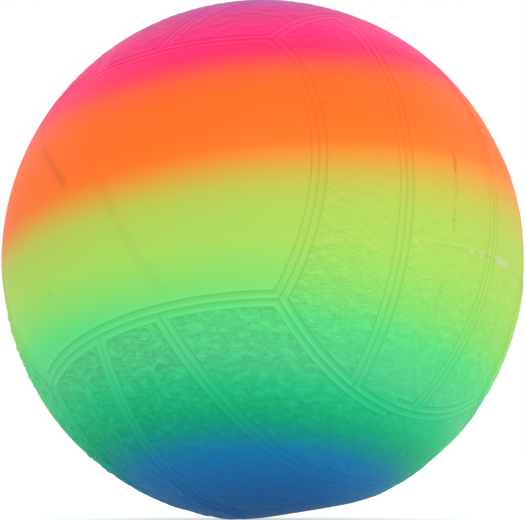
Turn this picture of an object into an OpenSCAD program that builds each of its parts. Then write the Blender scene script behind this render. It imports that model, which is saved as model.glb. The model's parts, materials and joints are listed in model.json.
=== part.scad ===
// Rotationally moulded PVC play ball with a needle valve at the top pole of its colour bands.
// Millimetres. The origin is the centre of the ball and +Z is up as the ball lies.
// The valve axis leans back from +Z, because the ball has rolled a little off its pole.

/* [Ball] */
// Outside diameter of the blown-up ball
ball_d = 220; // [170:1:270]
// Thickness of the skin
wall = 1.0; // [0.7:0.1:2.4]
// How far the valve pole leans back from straight up, in degrees
pole_lean = 15.5; // [-60:0.5:60]
// How far the valve pole leans to the side, in degrees
pole_roll = -2.1; // [-60:0.1:60]

/* [Valve boss] */
// Depth of the flat pad round the valve below the ball's own surface
pad_drop = 0.6; // [0.5:0.05:1]
// Width of the boss outside the pad and the flange
boss_margin = 2; // [1:0.5:5]
// Depth of the boss below the flange
boss_under = 6.5; // [3:0.5:10]
// Width of the sloped collar that blends the boss into the skin
boss_collar = 4; // [2:0.5:8]

/* [Valve seat] */
// Wall of the seat's sleeve at the pocket for the head
seat_wall = 1.4; // [1:0.1:3]
// Length of the sleeve, from the pad inwards
seat_length = 19; // [16:0.5:24]
// How far the flange that the skin grips stands out from the sleeve
flange_width = 3.5; // [2:0.5:5]
// Thickness of the flange
flange_thick = 2; // [1.5:0.1:3]
// Depth of the flange's outer face below the pad
flange_depth = 4.5; // [3:0.1:6]

/* [Valve core] */
// Diameter of the core's stem
stem_d = 6.8; // [5.6:0.1:8.2]
// How far the head's rim stands out from the stem
head_lip = 1; // [0.6:0.1:1.6]
// Thickness of the head
head_thick = 1.9; // [1.6:0.1:2.4]
// How far the head stands above the pad
head_rise = 0.25; // [0:0.05:0.3]
// Bevel round the head's top edge
head_bevel = 0.4; // [0.2:0.1:0.6]
// How far the tapered nose comes out of the seat's inner end
nose_reach = 2.6; // [1:0.1:4]
// Length of the tapered nose
nose_length = 3; // [2:0.5:4]
// Diameter of the nose's tip
nose_d = 4; // [3:0.1:5]
// Width of each sealing groove round the stem
groove_width = 1.4; // [0.8:0.1:1.8]
// Depth of each sealing groove
groove_depth = 0.35; // [0.2:0.05:0.5]
// Number of sealing grooves
groove_count = 3; // [1:1:4]
// Diameter of the hole that the pump's needle goes into
needle_d = 2; // [1.6:0.1:2.4]
// Depth of the needle hole below its funnel
needle_depth = 13; // [8:0.5:15]
// Width of the funnel's rim outside the needle hole
funnel_width = 0.9; // [0.5:0.1:1.2]
// Depth of the funnel
funnel_depth = 0.9; // [0.5:0.1:1.2]

/* [Clearances] */
// Radial clearance of the stem in the seat
stem_clear = 0.06; // [0.02:0.01:0.1]
// Radial clearance round the head
head_clear = 0.2; // [0.1:0.05:0.4]
// Gap left under the head
head_gap = 0.05; // [0.02:0.01:0.1]

/* [Hidden] */
$fn = 144;

past = 1;                             // how far a cut runs past the face that it opens
ball_r = ball_d / 2;
pad_z = ball_r - pad_drop;            // height of the flat pad along the valve axis
pad_r = sqrt(ball_r * ball_r - pad_z * pad_z);

head_d = stem_d + 2 * head_lip;
head_top = pad_z + head_rise;
head_under = head_top - head_thick;
stem_end = pad_z - seat_length - nose_reach;
groove_step = (head_under - stem_end - nose_length) / (groove_count + 1);
funnel_z = head_top - funnel_depth;   // mouth of the needle hole itself

bore_d = stem_d + 2 * stem_clear;
pocket_d = head_d + 2 * head_clear;
pocket_z = head_under - head_gap;     // floor of the pocket that the head lies in
seat_d = pocket_d + 2 * seat_wall;
seat_end = pad_z - seat_length;
flange_d = seat_d + 2 * flange_width;
flange_top = pad_z - flange_depth;
flange_under = flange_top - flange_thick;

boss_r = max(pad_r, flange_d / 2) + boss_margin;
boss_end = flange_under - boss_under;

// Moves what is drawn round the Z axis onto the valve axis.
module at_valve() {
  rotate([-pole_lean, pole_roll, 0]) children();
}

// A round bar on the Z axis between two heights, with its own diameter at the top if it tapers.
module bar(d, low, high, top_d) {
  translate([0, 0, low]) cylinder(d1 = d, d2 = is_undef(top_d) ? d : top_d, h = high - low);
}

// The thick part of the skin round the valve, run out past the ball's surface.
module boss() {
  collar_top = ball_r + past;
  collar_end = ball_r - wall - boss_collar;
  bar(2 * boss_r, boss_end, collar_top);
  bar(2 * boss_r, collar_end, collar_top, 2 * (boss_r + collar_top - collar_end));
}

// The air inside the ball.
module air() {
  difference() {
    sphere(r = ball_r - wall);
    at_valve() boss();
  }
}

// The outside of the seat, which the skin is moulded round.
module seat_body() {
  bar(seat_d, seat_end, pad_z);
  bar(flange_d, flange_under, flange_top);
}

module skin() {
  color("orangered") difference() {
    sphere(r = ball_r);
    air();
    at_valve() {
      bar(2 * (pad_r + past), pad_z, ball_r + past);
      bar(seat_d, seat_end, pad_z + past);
      seat_body();
    }
  }
}

module valve_seat() {
  color("lavender") at_valve() difference() {
    seat_body();
    bar(bore_d, seat_end - past, pad_z + past);
    bar(pocket_d, pocket_z, pad_z + past);
  }
}

module sealing_grooves() {
  for (i = [1:groove_count])
    let (middle = head_under - i * groove_step)
      difference() {
        bar(stem_d + past, middle - groove_width / 2, middle + groove_width / 2);
        bar(stem_d - 2 * groove_depth, middle - groove_width, middle + groove_width);
      }
}

module needle_hole() {
  bar(needle_d, funnel_z - needle_depth, head_top);
  bar(needle_d, funnel_z, head_top, needle_d + 2 * funnel_width);
}

module valve_core() {
  color("dimgray") at_valve() difference() {
    union() {
      bar(head_d, head_under, head_top - head_bevel);
      bar(head_d, head_top - head_bevel, head_top, head_d - 2 * head_bevel);
      bar(stem_d, stem_end + nose_length, head_under);
      bar(nose_d, stem_end, stem_end + nose_length, stem_d);
    }
    sealing_grooves();
    needle_hole();
  }
}

skin();
valve_seat();
valve_core();
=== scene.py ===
# %% [markdown]
# A play ball, moulded in one piece
#
# The ball is a soft PVC skin that was turned in a hot mould until it was closed, then blown up through a
# small rubber valve. Its panels are only relief in the mould's wall, and its colours are sprayed bands.
# So this lesson makes one fine mesh for the skin, works the relief into its points with numpy, and paints
# it with nodes. The frame gives the ball's size and the valve's axis, so that every piece lands where the
# solid model has it.

# %% Load the frame
import bpy
import bmesh
import json
import math
import numpy as np
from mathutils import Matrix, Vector


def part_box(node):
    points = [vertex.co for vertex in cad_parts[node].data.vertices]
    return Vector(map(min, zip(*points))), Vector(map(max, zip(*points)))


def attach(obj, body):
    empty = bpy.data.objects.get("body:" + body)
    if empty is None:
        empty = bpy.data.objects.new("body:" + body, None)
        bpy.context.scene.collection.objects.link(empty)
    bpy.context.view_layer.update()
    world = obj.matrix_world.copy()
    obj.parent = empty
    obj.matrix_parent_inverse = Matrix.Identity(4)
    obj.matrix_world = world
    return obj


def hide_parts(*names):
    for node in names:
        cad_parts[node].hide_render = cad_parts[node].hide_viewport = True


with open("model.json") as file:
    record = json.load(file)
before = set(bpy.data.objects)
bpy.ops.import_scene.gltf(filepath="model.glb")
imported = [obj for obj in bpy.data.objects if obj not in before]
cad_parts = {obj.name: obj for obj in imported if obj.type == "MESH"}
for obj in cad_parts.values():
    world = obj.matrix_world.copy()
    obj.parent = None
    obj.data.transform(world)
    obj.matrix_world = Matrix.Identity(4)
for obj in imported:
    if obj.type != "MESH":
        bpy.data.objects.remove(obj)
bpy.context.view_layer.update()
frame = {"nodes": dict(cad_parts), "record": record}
MM = 0.001
BALL_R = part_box("skin")[1][2] / MM
POLE = np.array(frame["record"]["behaviour"]["joints"][0]["axis"], float)
POLE /= np.linalg.norm(POLE)
print("ball radius", round(BALL_R, 3), "mm, valve axis", POLE.round(4))

# %% [markdown]
# A small language for materials
#
# Node trees are easier to read as arithmetic. The class below wraps one output socket. Adding or
# multiplying two wrapped values adds a Math node, and `tree.node(...)` makes any other node: its settings
# first, because they decide which sockets it has, then the values or links of its sockets.

# %% Sockets as values
class Value:
    def __init__(self, tree, socket):
        self.tree, self.socket = tree, socket

    def maths(self, operation, *others):
        sockets = {i: v for i, v in enumerate((self, *others))}
        return self.tree.node("ShaderNodeMath", {"operation": operation}, sockets)

    def __add__(self, other):
        return self.maths("ADD", other)

    def __sub__(self, other):
        return self.maths("SUBTRACT", other)

    def __mul__(self, other):
        return self.maths("MULTIPLY", other)

    def __truediv__(self, other):
        return self.maths("DIVIDE", other)

    __radd__, __rmul__ = __add__, __mul__

    def fade(self, start, end, low=0.0, high=1.0):
        """A smooth step from low at start to high at end."""
        made = {"interpolation_type": "SMOOTHSTEP"}
        return self.tree.node("ShaderNodeMapRange", made, {0: self, 1: start, 2: end, 3: low, 4: high})


class Tree:
    def __init__(self, name, kind="materials"):
        self.made = getattr(bpy.data, kind).new(name)
        self.made.use_nodes = True
        self.nodes, self.links = self.made.node_tree.nodes, self.made.node_tree.links
        self.nodes.clear()

    def node(self, kind, settings=None, sockets=None, output=0):
        made = self.nodes.new(kind)
        for name, value in (settings or {}).items():
            if name == "stops":
                self.set_stops(made.color_ramp, value)
            else:
                setattr(made, name, value)
        for name, value in (sockets or {}).items():
            if isinstance(value, Value):
                self.links.new(value.socket, made.inputs[name])
            else:
                made.inputs[name].default_value = value
        return Value(self, made.outputs[output])

    def set_stops(self, ramp, stops):
        while len(ramp.elements) < len(stops):
            ramp.elements.new(0.5)
        for element, (place, colour) in zip(ramp.elements, stops):
            element.position, element.color = place, (*colour, 1)

    def blend(self, factor, a, b):
        """Two colours mixed by a factor."""
        made = {"data_type": "RGBA", "clamp_factor": True}
        return self.node("ShaderNodeMix", made, {0: factor, 6: a, 7: b}, output=2)

    def noise(self, place, scale, detail=2.0, rough=0.5):
        sockets = {"Vector": place, "Scale": scale, "Detail": detail, "Roughness": rough}
        return self.node("ShaderNodeTexNoise", {}, sockets)

    def place(self):
        return self.node("ShaderNodeTexCoord", output=3)

    def finish(self, **sockets):
        """Ends the tree in a Principled shader with these sockets."""
        named = {name.replace("_", " "): value for name, value in sockets.items()}
        shader = self.node("ShaderNodeBsdfPrincipled", {}, named)
        output = self.nodes.new("ShaderNodeOutputMaterial")
        self.links.new(shader.socket, output.inputs["Surface"])
        return self.made


def paint(red, green, blue):
    """A screen colour, 0 to 255, as the linear values that nodes work in."""
    parts = [value / 255 for value in (red, green, blue)]
    return tuple(c / 12.92 if c < 0.0404 else ((c + 0.055) / 1.055) ** 2.4 for c in parts)


print("orange paint in linear values:", [round(c, 3) for c in paint(254, 118, 38)])

# %% [markdown]
# The skin's mesh
#
# The skin could be a subdivided sphere with a displacement modifier, but its relief is a net of thin
# lines that needs more vertices only where it runs. So an icosphere comes first, with edges of about one
# millimetre, and `refine` can split chosen triangles in four. It also splits each neighbour whose side
# was halved, so that no gap opens.

# %% An icosphere and a way to refine it
ICO_LEVEL = 8                         # edges of about one millimetre on this ball


def icosphere(level):
    bm = bmesh.new()
    bmesh.ops.create_icosphere(bm, subdivisions=level, radius=1.0)
    mesh = bpy.data.meshes.new("start")
    bm.to_mesh(mesh)
    bm.free()
    points = np.empty(len(mesh.vertices) * 3)
    mesh.vertices.foreach_get("co", points)
    corners = np.empty(len(mesh.loops), np.int64)
    mesh.loops.foreach_get("vertex_index", corners)
    bpy.data.meshes.remove(mesh)
    return on_sphere(points.reshape(-1, 3)), corners.reshape(-1, 3)


def on_sphere(vectors):
    return vectors / np.linalg.norm(vectors, axis=-1, keepdims=True)


def refine(points, tris, wanted):
    """Splits the wanted triangles into four, and their neighbours so that they still meet."""
    ends = np.sort(tris[:, [[0, 1], [1, 2], [2, 0]]], axis=2)
    key = ends[..., 0] * len(points) + ends[..., 1]
    keys, side = np.unique(key, return_inverse=True)
    side = side.reshape(-1, 3)
    split = np.zeros(len(keys), bool)
    split[side[wanted].ravel()] = True
    fresh = np.full(len(keys), -1)
    fresh[split] = len(points) + np.arange(split.sum())
    pairs = np.stack([keys[split] // len(points), keys[split] % len(points)], 1)
    points = np.concatenate([points, on_sphere(points[pairs].sum(1))])
    middle = fresh[side]
    count = (middle >= 0).sum(1)
    made = [tris[count == 0]]
    for turn in range(3):
        a, b, c = (tris[:, (turn + k) % 3] for k in range(3))
        p, q, r = (middle[:, (turn + k) % 3] for k in range(3))
        one = (count == 1) & (p >= 0)
        two = (count == 2) & (r < 0)
        made += [np.stack(t, 1)[one] for t in ((a, p, c), (p, b, c))]
        made += [np.stack(t, 1)[two] for t in ((p, b, q), (a, p, q), (a, q, c))]
    four = count == 3
    (a, b, c), (p, q, r) = tris[four].T, middle[four].T
    made += [np.stack(t, 1) for t in ((a, p, r), (p, b, q), (r, q, c), (p, q, r))]
    return points, np.concatenate(made)


points, tris = icosphere(ICO_LEVEL)
print("first mesh:", len(tris), "triangles")

# %% [markdown]
# The panel net
#
# The net is that of a volleyball: six faces round a cube, three panels to a face, each face turned a
# quarter against the next. One face is left whole, as a large plain panel. The mould was cut a little out
# of true, so the net is shifted and sheared before it meets the ball, and its two halves meet with a
# small slip. Every line is a circle cut by a plane, so a point's panel and its distance to that panel's
# edges come from a few dot products, and the mitred corners come by themselves.

# %% The net's shape
def turned(angles):
    """A turn about X, then Y, then Z."""
    (cx, cy, cz), (sx, sy, sz) = np.cos(angles), np.sin(angles)
    about_x = np.array(((1, 0, 0), (0, cx, -sx), (0, sx, cx)))
    about_y = np.array(((cy, 0, sy), (0, 1, 0), (-sy, 0, cy)))
    about_z = np.array(((cz, -sz, 0), (sz, cz, 0), (0, 0, 1)))
    return about_z @ about_y @ about_x


FAR = 9.0                             # stands for any distance too great to matter
NET_TURNS = np.radians((-73.2, -18.0, -131.0))
SIDE_TILT, DIVIDE_TILT = np.radians((-2.5, 13.1))
DIVIDE_LIFTS = np.radians((0.95, 0.95, 1.5))
SIDE_LIFT = (math.cos(SIDE_TILT) + math.sin(SIDE_TILT)) / math.sqrt(3)
HALF_SLIP = math.radians(1.7)
SHIFT = np.array((0.093, 0.008, 0.025))
SHEAR = np.array(((1, -0.034, -0.020), (-0.034, 1, -0.032), (-0.020, -0.032, 1)))
NET_AXES = turned(NET_TURNS)


def on_net(directions):
    """Unit directions carried from the ball onto the true net, the local scale, and the mould half."""
    v = directions @ NET_AXES
    half = v[:, 0]
    c, s = math.cos(HALF_SLIP), math.sin(HALF_SLIP)
    slipped = np.stack([v[:, 0], c * v[:, 1] + s * v[:, 2], c * v[:, 2] - s * v[:, 1]], 1)
    v = np.where(half[:, None] < 0, slipped, v)
    u = v @ np.linalg.inv(SHEAR).T
    w = np.linalg.inv(SHEAR) @ SHIFT
    uu, uw = (u * u).sum(1), u @ w
    reach = (uw + np.sqrt(uw * uw - uu * (w @ w - 1))) / uu
    return reach[:, None] * u - w, 1 / reach, half


def arc(lift):
    return np.arcsin(np.clip(lift, -1, 1))


def net_distance(directions):
    """Each point's face, 0 to 5, and its distance in millimetres to the nearest line of the net."""
    q, scale, half = on_net(directions)
    size = np.abs(q)
    c, s = math.cos(SIDE_TILT), math.sin(SIDE_TILT)
    over = [arc(c * size[:, (f + 1) % 3] + s * size[:, f]) - arc(SIDE_LIFT) for f in range(3)]
    axis = np.select([(over[(f + 2) % 3] > 0) & (over[f] <= 0) for f in range(3)], range(3),
                     np.argmax(size, axis=1))
    best = np.full(len(q), FAR)
    face = np.zeros(len(q), int)
    c, s = math.cos(DIVIDE_TILT), math.sin(DIVIDE_TILT)
    for f in range(3):
        mine = axis == f
        divide = arc(c * size[:, (f + 1) % 3] - s * size[:, f]) - DIVIDE_LIFTS[f]
        if f == 0:
            divide = np.where(q[:, 0] > 0, FAR, divide)      # the plain panel fills its whole face
        near = np.minimum(np.minimum(np.abs(over[f]), np.abs(over[(f + 2) % 3])), np.abs(divide))
        best = np.where(mine, near, best)
        face = np.where(mine, 2 * f + (q[:, f] < 0), face)
    return face, best * BALL_R * scale, half


face, lines, _ = net_distance(points)
print("share of the ball on each face:", (np.bincount(face) / len(face)).round(3))

# %% [markdown]
# Finer triangles where the relief is
#
# Each line of the moulded net is three thin crests with a shallow channel between each two. Splitting the
# whole ball fine enough for those crests would take millions of triangles. Two rounds of splitting near
# the crests, and near the slip between the halves of the mould, give the same shape for far fewer.

# %% Finer triangles along the lines
STRIP = 3.3


def near_relief(points, tris, margin):
    """Triangles that a line's crest or the mould's parting passes within the margin, in millimetres."""
    _, lines, half = net_distance(points)
    crest = np.minimum(lines, np.abs(lines - STRIP))
    step = np.where(lines < STRIP + 1, np.abs(half) * BALL_R, FAR)
    return (np.minimum(crest, step)[tris] < margin).any(1)


for margin in (1.0, 0.45):
    points, tris = refine(points, tris, near_relief(points, tris, margin))
    print("refined to", len(tris), "triangles")

# %% [markdown]
# Crests on the vertices
#
# A thin crest that runs across triangles would look like a saw. Still finer triangles would only make the
# teeth smaller. So the vertices nearest to each crest slide along the ball until they lie on it, and the
# triangles' sides follow the line.

# %% Slide vertices onto the crests
REACH = 0.16


def slide_to_crests(points):
    _, lines, half = net_distance(points)
    nudge = 1e-4
    moved = [net_distance(on_sphere(points + nudge * step))[1] for step in np.eye(3)]
    slope = np.stack([there - lines for there in moved], 1) / nudge
    slope -= (slope * points).sum(1, keepdims=True) * points
    for crest in (0.0, STRIP):
        gap = lines - crest
        close = (np.abs(gap) < REACH) & (np.abs(half) * BALL_R > 0.4)
        move = -(gap / np.maximum((slope * slope).sum(1), 1e-6))[:, None] * slope
        size = np.linalg.norm(move, axis=1) * BALL_R
        points = np.where((close & (size < 1.5 * REACH))[:, None], on_sphere(points + move), points)
    return points


points = slide_to_crests(points)
face, lines, _ = net_distance(points)
print("vertices on a crest:", int((np.minimum(lines, np.abs(lines - STRIP)) < 0.02).sum()))

# %% [markdown]
# Relief
#
# Round each line of the net run shallow channels that meet in thin crests, and inside the panels lies a
# leather grain: soft pillows parted by short creases. A texture could only shade such a grain, while
# noise worked out for each vertex shapes it. Gradient noise in numpy does that, from a fixed seed each
# time, and noise that is folded at zero gives the creases. The plain panel has no grain.

# %% Noise in numpy
COARSE_SIZE, FINE_SIZE = 4.2, 2.0     # of the grain's noise, in millimetres


def soft_noise(place, size, seed):
    """Gradient noise between about -1 and 1, for points in millimetres."""
    rng = np.random.default_rng(seed)
    slopes = on_sphere(rng.normal(size=(4096, 3)))
    p = place / size + rng.uniform(0, 64, 3)
    cell = np.floor(p).astype(np.int64)
    part = p - cell
    ease = part ** 3 * (part * (part * 6 - 15) + 10)
    total = np.zeros(len(p))
    for corner in np.ndindex(2, 2, 2):
        at = cell + corner
        code = (at[:, 0] * 73856093 ^ at[:, 1] * 19349663 ^ at[:, 2] * 83492791) & 4095
        weight = np.prod(np.where(corner, ease, 1 - ease), axis=1)
        total += weight * (slopes[code] * (part - corner)).sum(1)
    return total * 1.6


def fade(x, start, end):
    """A smooth step from 0 at start to 1 at end."""
    t = np.clip((x - start) / (end - start), 0, 1)
    return t * t * (3 - 2 * t)


print("grain noise at three points:", soft_noise(points[:3] * BALL_R, COARSE_SIZE, 21).round(3))

# %% [markdown]
# Channels, crests and grain
#
# The depth near a line depends only on the distance to it, so one curve draws the whole net, and the
# mitred corners are right by themselves. A sculpted seam would have to be drawn again for every line.
# Thick paint fills the relief a little near the violet pole, and the grain came out of the mould deeper
# in some places than in others, so both have a strength of their own.

# %% The relief in millimetres
CHANNEL, RAMP, RAMP_RUN = 0.5, 0.34, 0.9
CREST_CUT, CREST_CUT_WIDTH = 0.12, 0.18
GRAIN = 0.62


def strips(lines):
    """Hollow channels that meet in crests, a ramp down to the panel, and a fine crease on each crest."""
    across = np.clip(lines / STRIP, 0, 1)
    channel = CHANNEL * 4 * across * (1 - across)
    ramp = RAMP * (1 - np.exp(-np.maximum(lines - STRIP, 0) / RAMP_RUN))
    return -channel - ramp - CREST_CUT * on_line(lines, CREST_CUT_WIDTH)


def on_line(lines, width):
    """1 on a line and 0 away from it."""
    return np.exp(-(np.minimum(lines, np.abs(lines - STRIP)) / width) ** 2)


def leather(place):
    """Grain with pillows of two to three millimetres."""
    warp = np.stack([soft_noise(place, 6.0, seed) for seed in (11, 12, 13)], 1) * 1.6
    stretch = (place + warp) * (1.0, 1.0, 1.35)
    coarse = soft_noise(stretch, COARSE_SIZE, 21)
    fine = soft_noise(stretch, FINE_SIZE, 22)
    return -0.5 * np.exp(-np.abs(coarse) / 0.22) + 0.75 * coarse + 0.35 * fine


def grain_strength(face, lines, height):
    """How deep the grain is: none on the plain panel, the strips and the pad, and most in the lower half."""
    inside = fade(lines, STRIP + 0.1, STRIP + 0.9) * (face != 0) * fade(height, 0.992, 0.984)
    return inside * (0.42 + 0.58 * fade(height, 0.1, -0.4)) * (1 - 0.4 * fade(height, -0.75, -0.92))


place = points * BALL_R
height = points @ POLE
right = fade(points[:, 0], 0.1, 0.6)
lower_left = fade(points[:, 0], -0.1, -0.5) * fade(height, -0.1, -0.4)
crisp = 1 - 0.4 * right + 0.35 * lower_left
strength = grain_strength(face, lines, height) * crisp
under_paint = (1 - 0.45 * fade(height, 0.5, 0.75)) * (1 + 0.35 * fade(height, -0.1, -0.5))
grained = leather(place)
relief = under_paint * strips(lines) + GRAIN * strength * grained
print("relief from", relief.min().round(3), "to", relief.max().round(3), "mm")

# %% [markdown]
# What the mould and use left behind
#
# A low flash line runs round the ball where the mould's halves met. The skin also has a few soft folds
# from lying flat in its box, and small flecks where the paint wore off or dirt stuck. They could be
# painted as an image, but a few directions on the ball with a width and a strength say the same and stay
# easy to move.

# %% Where the marks are
FLASH_AXIS = np.array((-0.084, 0.272, 0.958))
FLASH_LIFT = -0.19
FLASH_BEAD, FLASH_STEP = 0.12, 0.08
# Each fold: the directions of its ends, its width and depth in millimetres, and how much painted shade darkens
# its hollow
FOLDS = (
    ((-0.62, -0.73, 0.29), (-0.58, -0.80, 0.18), 3.0, 0.20, 0.06),
    ((-0.58, -0.80, 0.18), (-0.39, -0.91, -0.11), 2.6, 0.16, 0.05),
    ((-0.84, -0.34, 0.43), (-0.76, -0.58, 0.30), 1.8, 0.12, 0.20),
    ((0.722, -0.558, 0.410), (0.732, -0.561, 0.385), 0.7, 0.20, 0.30),
    ((0.732, -0.561, 0.385), (0.732, -0.588, 0.343), 0.55, 0.30, 0.45),
    ((0.732, -0.588, 0.343), (0.737, -0.616, 0.277), 0.30, 0.12, 0.22),
    ((0.737, -0.616, 0.277), (0.729, -0.652, 0.210), 0.30, 0.10, 0.16),
    ((0.729, -0.652, 0.210), (0.724, -0.680, 0.113), 0.35, 0.12, 0.26),
    ((0.68, -0.73, -0.08), (0.65, -0.73, -0.21), 0.5, 0.10, 0.14),
    ((0.09, -0.77, -0.63), (0.44, -0.65, -0.63), 0.5, 0.10, 0.08),
)
# Each mark: its direction, its radius in millimetres and its strength
FLECKS = (
    ((0.584, -0.808, 0.072), 1.6, 0.5), ((0.693, -0.719, 0.046), 1.2, 0.4),
    ((0.796, -0.604, 0.033), 1.8, 0.8), ((0.833, -0.553, 0.020), 1.9, 0.8),
    ((0.893, -0.450, 0.008), 2.6, 0.9), ((0.908, -0.419, -0.004), 2.8, 0.95),
    ((0.922, -0.386, -0.018), 2.6, 0.9), ((0.959, -0.272, -0.083), 1.8, 0.7),
    ((0.634, -0.762, -0.130), 1.8, 0.3), ((-0.79, 0.60, 0.10), 1.8, 0.8),
    ((-0.61, 0.78, -0.05), 1.6, 0.6), ((0.35, 0.93, -0.10), 1.8, 0.7),
)
SPECKS = (
    ((0.726, -0.687, -0.022), 0.4, 0.5), ((-0.908, -0.410, 0.087), 0.4, 0.5),
    ((-0.811, -0.572, -0.124), 1.2, 0.15), ((-0.32, -0.94, 0.13), 0.35, 0.4),
    ((-0.52, -0.85, -0.07), 0.35, 0.4), ((0.50, 0.86, 0.12), 0.4, 0.4),
)


def from_arc(place, start, end):
    """Distance in millimetres to a short arc on the ball."""
    a, b = (np.array(v) / np.linalg.norm(v) * BALL_R for v in (start, end))
    along = np.clip((place - a) @ (b - a) / ((b - a) @ (b - a)), 0, 1)
    nearest = on_sphere(a + along[:, None] * (b - a)) * BALL_R
    return np.linalg.norm(place - nearest, axis=1)


print(len(FOLDS), "folds,", len(FLECKS), "worn flecks and", len(SPECKS), "specks of dirt")

# %% [markdown]
# Pressing the marks in
#
# The flash line is a fine bead with a low step beside it, so it is added to the relief, and the folds are
# hollows taken from it. Painted shade, dirt and wear have no depth. The painted shade darkens the folds'
# hollows and the grain's hollows in the lower half, and the dirt is a few specks. They are kept as one
# value for each vertex, which the paint will read. At the right the paint is darker in a narrow band just
# below the flash line and paler in one just above it.

# %% Press the marks in
above = (points @ on_sphere(FLASH_AXIS) - FLASH_LIFT) * BALL_R
flash = np.abs(above)
relief += FLASH_BEAD * np.exp(-(flash / 0.4) ** 2)
relief += FLASH_STEP * fade(above, 0.0, -1.3)
flash_right = fade(points[:, 0], 0.5, 0.8)
# at the right, the paint is darker in a narrow band just below the flash line
dirt = 0.10 * flash_right * np.exp(-((above + 0.7) / 0.45) ** 2)
# painted shade in the grain's hollows, in the lower half of the ball
dirt += 0.11 * strength * fade(grained, 0.0, -0.6) * fade(height, -0.2, -0.6)
# at the right, the paint is paler in a narrow band just above the flash line
worn = 0.22 * flash_right * np.exp(-((above - 0.2) / 0.4) ** 2)
for start, end, width, depth, dark in FOLDS:
    pressed = np.exp(-(from_arc(place, start, end) / width) ** 2)
    relief -= depth * pressed
    # painted shade in the fold's hollow
    dirt = np.maximum(dirt, dark * pressed)
for marks, mask in ((FLECKS, worn), (SPECKS, dirt)):
    for where, size, strong in marks:
        away = place - on_sphere(np.array(where)) * BALL_R
        away = np.sqrt((away ** 2).sum(1) + 4 * (away @ on_sphere(FLASH_AXIS)) ** 2)
        np.maximum(mask, strong * np.exp(-(away / size) ** 4), out=mask)
scuffs = np.exp(-(flash / 0.5) ** 2) * fade(soft_noise(place, 4.0, 31), 0.3, 0.6)
worn = np.maximum(worn, 0.4 * scuffs * fade(soft_noise(place, 40.0, 32), 0.0, 0.3))
surface = points * (BALL_R + relief)[:, None]
print("relief with the marks from", relief.min().round(3), "to", relief.max().round(3), "mm")

# %% [markdown]
# The flat that the ball rests on
#
# A soft ball gives where it lies, and this one leans a little. A soft-body simulation would find the
# shape, but it is only a small flat, so whatever stands beyond a leaning plane is pushed back to it, with
# a soft edge where the skin rolls off the floor.

# %% Press the underside flat
FLAT_LEAN, FLAT_DEPTH, FLAT_SOFT = math.radians(9), 3.3, 3.0


def press_flat(surface, normal, level, soft):
    """Pushes whatever stands beyond a plane back to it, with a soft edge."""
    reach = surface @ normal
    over = reach - level
    kept = np.where(over > -soft, np.where(over < soft, -(over - soft) ** 2 / (4 * soft), 0), over)
    return surface + np.outer(kept - over, normal)


down = np.array((math.sin(FLAT_LEAN), 0, -math.cos(FLAT_LEAN)))
surface = press_flat(surface, down, BALL_R - FLAT_DEPTH, FLAT_SOFT)
print("lowest point", surface[:, 2].min().round(2), "mm")

# %% [markdown]
# The valve's place
#
# Round the valve the skin is a thick boss with a flat pad. The outer mesh is cut open over the seat's
# sleeve, and the cut's edge is then drawn down the hole, round the seat's flange, out round the boss and
# along the inside of the skin to the far pole. That makes one closed shell with no loose edge. A modifier
# that thickens the skin would be quicker, but it would carry the grain inside and know nothing of the
# boss.

# %% The boss and the inner side
PAD_Z, HOLE_R = 109.4, 6.0
FLANGE_R, FLANGE_TOP, FLANGE_UNDER = 9.5, 104.9, 102.9
BOSS_R, BOSS_END, WALL, COLLAR = 13.47, 96.4, 1.0, 4.0
DEEPER = 0.6                          # the inner side lies this much deeper, so that no groove cuts through
INSIDE = BALL_R - WALL - DEEPER


def press_pad(surface):
    """The flat pad round the valve, and no grain on it."""
    reach = surface @ POLE
    return np.where((reach > PAD_Z)[:, None], surface + np.outer(PAD_Z - reach, POLE), surface)


def off_axis(surface):
    """Each point's distance from the valve's axis and its height along it."""
    reach = surface @ POLE
    return np.linalg.norm(surface - np.outer(reach, POLE), axis=1), reach


def inner_profile():
    """Radius and height of the shell's inner side, from the pad's hole to the far pole."""
    meet = BALL_R - WALL - COLLAR
    steps = [(HOLE_R, FLANGE_TOP), (FLANGE_R, FLANGE_TOP), (FLANGE_R, FLANGE_UNDER), (HOLE_R, FLANGE_UNDER),
             (HOLE_R, BOSS_END), (BOSS_R, BOSS_END), (BOSS_R, meet)]
    start = math.asin((BOSS_R + COLLAR * 0.85) / INSIDE)
    steps += [(INSIDE * math.sin(a), INSIDE * math.cos(a)) for a in np.linspace(start, math.pi, 60)[:-1]]
    return steps


surface = press_pad(surface)
print("inner side drawn with", len(inner_profile()), "rings")

# %% [markdown]
# Closing the shell
#
# The triangles over the hole go away, and what is left of the edge is one loop of vertices. That loop is
# set onto the hole's rim, and each step of the inner profile adds one more ring of the same number of
# vertices, joined to the last by four-sided faces.

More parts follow.
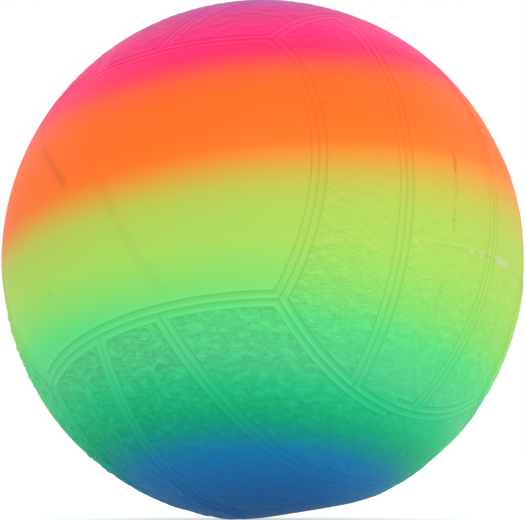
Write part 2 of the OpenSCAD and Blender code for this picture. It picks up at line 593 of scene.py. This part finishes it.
# %% Cut the opening and close the shell
def close_shell(surface, tris):
    radius, reach = off_axis(surface)
    inside = (radius < HOLE_R) & (reach > 0)
    tris = tris[~inside[tris].any(1)]
    used = np.unique(tris)
    fresh = np.full(len(surface), -1)
    fresh[used] = np.arange(len(used))
    surface, tris = surface[used], fresh[tris]
    ends = tris[:, [[0, 1], [1, 2], [2, 0]]].reshape(-1, 2)
    key = np.sort(ends, 1) @ (len(surface), 1)
    _, first, count = np.unique(key, return_index=True, return_counts=True)
    rim = {int(a): int(b) for a, b in ends[first[count == 1]]}
    loop = [next(iter(rim))]
    while rim[loop[-1]] != loop[0]:
        loop.append(rim[loop[-1]])
    assert len(loop) == len(rim), "the opening is one loop"
    edge = surface[loop]
    out = edge - np.outer(edge @ POLE, POLE)
    out /= np.linalg.norm(out, axis=1, keepdims=True)
    surface[loop] = out * HOLE_R + POLE * PAD_Z
    rings, size = [np.array(loop)], len(loop)
    for ring_r, ring_z in inner_profile():
        rings.append(len(surface) + np.arange(size))
        ring = press_flat(out * ring_r + POLE * ring_z, down, INSIDE - FLAT_DEPTH, FLAT_SOFT)
        surface = np.concatenate([surface, ring])
    quads = [np.stack([np.roll(a, -1), a, b, np.roll(b, -1)], 1) for a, b in zip(rings, rings[1:])]
    last, pole = rings[-1], len(surface)
    far_end = press_flat(-POLE[None] * INSIDE, down, INSIDE - FLAT_DEPTH, FLAT_SOFT)
    surface = np.concatenate([surface, far_end])
    fan = np.stack([np.roll(last, -1), last, np.full(size, pole)], 1)
    return surface, np.concatenate([tris, fan]), np.concatenate(quads), used


surface, tris, quads, used = close_shell(surface, tris)
print("shell:", len(surface), "vertices,", len(tris) + len(quads), "faces")

# %% [markdown]
# The skin as an object
#
# Half a million vertices are too many for a loop in Python, so the mesh is filled from whole arrays.
# Four values for each vertex go with it, for the paint: grain, crest, painted shade with dirt, and wear.

# %% The skin as an object
def mesh_from(name, surface, tris, quads):
    mesh = bpy.data.meshes.new(name)
    mesh.vertices.add(len(surface))
    mesh.vertices.foreach_set("co", (surface * MM).ravel())
    corners = np.concatenate([tris.ravel(), quads.ravel()])
    starts = np.concatenate([np.arange(len(tris)) * 3, len(tris) * 3 + np.arange(len(quads)) * 4])
    mesh.loops.add(len(corners))
    mesh.loops.foreach_set("vertex_index", corners)
    mesh.polygons.add(len(starts))
    mesh.polygons.foreach_set("loop_start", starts)
    mesh.update(calc_edges=True)
    mesh.validate()
    mesh.polygons.foreach_set("use_smooth", np.ones(len(mesh.polygons), bool))
    return mesh


skin = bpy.data.objects.new("ball_skin", mesh_from("ball_skin", surface, tris, quads))
bpy.context.scene.collection.objects.link(skin)


def keep_mask(name, mask):
    """A value per outer vertex that the paint can read."""
    values = np.zeros(len(surface), np.float32)
    values[:len(used)] = mask[used]
    skin.data.attributes.new(name, "FLOAT", "POINT").data.foreach_set("value", values)


keep_mask("grain", strength)
keep_mask("crest", on_line(lines, 0.3) * under_paint)
keep_mask("dirt", dirt)
keep_mask("worn", worn)
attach(skin, "ball")
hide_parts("skin")
bm = bmesh.new()
bm.from_mesh(skin.data)
print("open edges:", sum(not e.is_manifold for e in bm.edges))
print("volume:", round(bm.calc_volume() / MM ** 3), "mm3")
bm.free()

# %% [markdown]
# The sprayed bands
#
# The ball was spun on its poles while guns sprayed its bands, so a colour depends mostly on the height
# along the pole axis, and neighbours melt into each other. An image wrapped round the ball would need a
# map of it, and a colour ramp over the latitude needs none. Each stop is a latitude and a screen colour.
# Those colours are the spray with the set's light at each latitude taken out, so the ramp also holds
# painted light and shade: lighter where the set lights the ball less and darker where it lights it more.

# %% The bands' colours
# the sprayed colours, with painted light and shade by latitude mixed in
BANDS = (
    (-90, (2, 106, 178)), (-76, (2, 111, 181)), (-66, (5, 126, 196)), (-60.5, (4, 139, 194)),
    (-55.5, (0, 167, 158)), (-50, (4, 194, 134)), (-43, (40, 217, 144)), (-36, (86, 225, 147)),
    (-27, (96, 234, 134)), (-20, (139, 231, 110)), (-11, (170, 222, 92)), (-3, (178, 210, 84)),
    (1, (191, 197, 74)), (4.5, (213, 174, 60)), (8, (236, 143, 44)), (11, (248, 117, 26)),
    (16, (250, 107, 14)), (26, (248, 100, 16)), (31, (246, 86, 42)), (34.5, (244, 58, 72)), (38, (240, 20, 92)),
    (46, (230, 10, 108)), (54, (210, 10, 112)), (60, (190, 16, 122)), (67, (166, 34, 138)),
    (78, (146, 46, 150)), (90, (134, 50, 158)),
)
BOUNCE = 0.64                         # the paint itself is darker than it looks in this much light
print("bands:", len(BANDS), "stops")

# %% [markdown]
# The bands' borders
#
# The spray didn't follow the latitudes exactly. A slow noise bends the borders a little, they sag towards
# both sides, and the bands are wider at the right than at the left. All of that is added to the latitude
# before it is looked up, so the ramp itself can stay simple.

# %% Where the borders run
SIDE_SAG = 2.0


def latitude_of(tree, place):
    """The latitude in degrees that the spray gave each place."""
    dot = {"operation": "DOT_PRODUCT"}
    pole = tree.node("ShaderNodeVectorMath", dot, {0: place, 1: Vector(POLE)}, output=1)
    side = tree.node("ShaderNodeSeparateXYZ", {}, {0: place}) / (BALL_R * MM)
    latitude = (pole / (BALL_R * MM)).maths("ARCSINE") * (180 / math.pi)
    sway = (tree.noise(place, 14.0, 1.0) - 0.5) * 1.5 + side * side * SIDE_SAG
    return latitude + sway - side * latitude.fade(-34, 16, -6.4, 5.2)


print("the borders sag by", SIDE_SAG, "degrees at the sides")

# %% [markdown]
# The finest creases
#
# The creases between the grain's pillows go on down to a few tenths of a millimetre, finer than the mesh.
# Those only need to catch the light, so they are a bump in the material and no shape. The paint then puts
# the bands, the painted shade along the crests, in the folds and in the grain's hollows, the dirt specks,
# the worn flecks and that bump together in one shader.

# %% The skin's paint
GRAIN_BUMP, BEND = 0.26 * MM, 4.0
CREST_SHADE = 0.18


def crinkle(tree, place):
    """The fine creases of the grain: noise folded at its middle, on a bent and stretched place."""
    bend = tree.node("ShaderNodeTexNoise", {}, {"Vector": place, "Scale": 160.0, "Detail": 1.0}, output=1)
    a_little = (BEND * MM,) * 3
    bent = tree.node("ShaderNodeVectorMath", {"operation": "MULTIPLY_ADD"}, {0: bend, 1: a_little, 2: place})
    flat = tree.node("ShaderNodeVectorMath", {"operation": "MULTIPLY"}, {0: bent, 1: (1, 1, 1.5)})
    folds = (tree.noise(flat, 330.0, 1.5, 0.4) - 0.5).maths("ABSOLUTE").fade(0.0, 0.09)
    return folds * 0.6 + tree.noise(flat, 420.0, 2.0) * 0.9


def skin_paint():
    tree = Tree("sprayed_pvc")
    place = tree.place()
    latitude = latitude_of(tree, place)
    stops = [((degrees + 90) / 180, [c * BOUNCE for c in paint(*colour)]) for degrees, colour in BANDS]
    colour = tree.node("ShaderNodeValToRGB", {"stops": stops}, {0: (latitude + 90) / 180})
    grain, crest, dirt, worn = [tree.node("ShaderNodeAttribute", {"attribute_name": name}, output=2)
                                for name in ("grain", "crest", "dirt", "worn")]
    # painted shade along the crests, in the folds and in the grain's hollows, and a few dirt specks darken the
    # bands
    colour = tree.blend(crest * CREST_SHADE + dirt, colour, (0, 0, 0, 1))
    ragged = tree.noise(place, 1400.0, 2.0).fade(0.3, 0.55)
    colour = tree.blend(worn * (0.6 + 0.4 * ragged), colour, (*paint(166, 172, 136), 1))
    height = crinkle(tree, place) * grain
    bump = tree.node("ShaderNodeBump", {}, {"Strength": 1.0, "Distance": GRAIN_BUMP, "Height": height})
    cloud = tree.noise(place, 60.0, 3.0)
    rough = 0.52 + 0.1 * grain + (cloud - 0.5) * 0.15
    return tree.finish(Base_Color=colour, Roughness=rough, Normal=bump, Specular_IOR_Level=0.1)


skin.data.materials.append(skin_paint())
print("the skin is", skin.data.materials[0].name)

# %% [markdown]
# The valve's pieces
#
# The seat and the core are turned shapes that the solid model already has, so their own meshes stay and
# only get finishes. The seat is pale PVC, tinted violet by the spray that drifted onto it. The core is
# dark rubber with a grey bloom. Both are small and seldom seen, so two colours and one noise do for each.

# %% Valve finishes
VALVE_BUMP = 0.1 * MM


def seat_paint():
    tree = Tree("seat_pvc")
    place = tree.place()
    mottle = tree.noise(place, 500.0, 3.0)
    colour = tree.blend(mottle, (*paint(150, 112, 172), 1), (*paint(178, 146, 198), 1))
    bump = tree.node("ShaderNodeBump", {}, {"Strength": 0.2, "Distance": VALVE_BUMP, "Height": mottle})
    return tree.finish(Base_Color=colour, Roughness=0.45 + 0.15 * mottle, Normal=bump)


def core_paint():
    tree = Tree("core_rubber")
    place = tree.place()
    bloom = tree.noise(place, 700.0, 4.0, 0.65)
    colour = tree.blend(bloom.fade(0.35, 0.7), (*paint(38, 38, 40), 1), (*paint(66, 65, 66), 1))
    bump = tree.node("ShaderNodeBump", {}, {"Strength": 0.3, "Distance": VALVE_BUMP, "Height": bloom})
    return tree.finish(Base_Color=colour, Roughness=0.6 + 0.25 * bloom, Normal=bump)


for node, made in (("valve_seat", seat_paint()), ("valve_core", core_paint())):
    frame["nodes"][node].data.materials.clear()
    frame["nodes"][node].data.materials.append(made)
    print(node, "is", made.name)

# %% [markdown]
# The floor
#
# The set is a pale floor at the height of the ball's lowest point. It could be a white sheet lit from
# above, but the ball would then lie in a dark pool of its own shadow, so the floor also glows a little.

# %% The floor
FLOOR_Z = surface[:, 2].min() * MM
FLOOR_R, FLOOR_LOW, FLOOR_HIGH, FLOOR_GLOW = 3.0, 0.32, 0.35, 0.6


def add_floor():
    tree = Tree("pale_floor")
    speckle = tree.noise(tree.place(), 30.0, 3.0)
    colour = tree.blend(speckle, (*[FLOOR_LOW] * 3, 1), (*[FLOOR_HIGH] * 3, 1))
    bm = bmesh.new()
    bmesh.ops.create_circle(bm, cap_ends=True, segments=128, radius=FLOOR_R)
    mesh = bpy.data.meshes.new("floor")
    bm.to_mesh(mesh)
    bm.free()
    made = bpy.data.objects.new("floor", mesh)
    made.location.z = FLOOR_Z
    mesh.materials.append(tree.finish(Base_Color=colour, Roughness=0.9, Specular_IOR_Level=0.0,
                                      Emission_Color=(1, 1, 1, 1), Emission_Strength=FLOOR_GLOW))
    bpy.context.scene.collection.objects.link(made)


add_floor()
print("floor at", round(FLOOR_Z, 5), "m")

# %% [markdown]
# The light
#
# A white sky lights the ball almost evenly, and it is brighter above than at the horizon, where the
# camera looks. Two broad round lamps add what an even light leaves out: a key light in front and above
# brings out the relief, and a side light brightens the right.

# %% Lamps and sky
SKY, HORIZON = 1.9, 1.0


def soft_light(name, place, size, power):
    lamp = bpy.data.lights.new(name, "AREA")
    lamp.shape, lamp.size, lamp.energy = "DISK", size, power
    made = bpy.data.objects.new(name, lamp)
    made.location = place
    made.rotation_euler = (-Vector(place)).to_track_quat("-Z", "Y").to_euler()
    bpy.context.scene.collection.objects.link(made)


soft_light("key", (-0.1, -1.4, 2.2), 0.9, 9)
soft_light("side", (2.5, -0.5, 0.4), 1.2, 15)


def sky():
    """White at the horizon, where the camera looks, and brighter above."""
    tree = Tree("white_sky", "worlds")
    up = tree.node("ShaderNodeSeparateXYZ", {}, {0: tree.node("ShaderNodeTexCoord")}, output=2)
    strength = up.fade(0.08, 0.35, HORIZON, SKY)
    background = tree.node("ShaderNodeBackground", {}, {"Color": (1, 1, 1, 1), "Strength": strength})
    output = tree.nodes.new("ShaderNodeOutputWorld")
    tree.links.new(background.socket, output.inputs["Surface"])
    return tree.made


bpy.context.scene.world = sky()
bpy.context.scene.view_settings.view_transform = "Standard"

# %% [markdown]
# The camera
#
# The ball is seen level and from the front. A camera far away with a very long lens shows it almost
# without perspective, so that nearly half of it is in view. A nearer camera would see less of the rims.

# %% The camera
DISTANCE, LENS, AIM = 9.018, 1468.0, 0.00044
lens = bpy.data.cameras.new("camera")
lens.lens, lens.sensor_width, lens.clip_end = LENS, 36.0, 100.0
camera = bpy.data.objects.new("camera", lens)
camera.location = (0, -DISTANCE, AIM)
camera.rotation_euler = (math.pi / 2, 0, 0)
bpy.context.scene.collection.objects.link(camera)
bpy.context.scene.camera = camera
print("camera", DISTANCE, "m away with a", LENS, "mm lens")
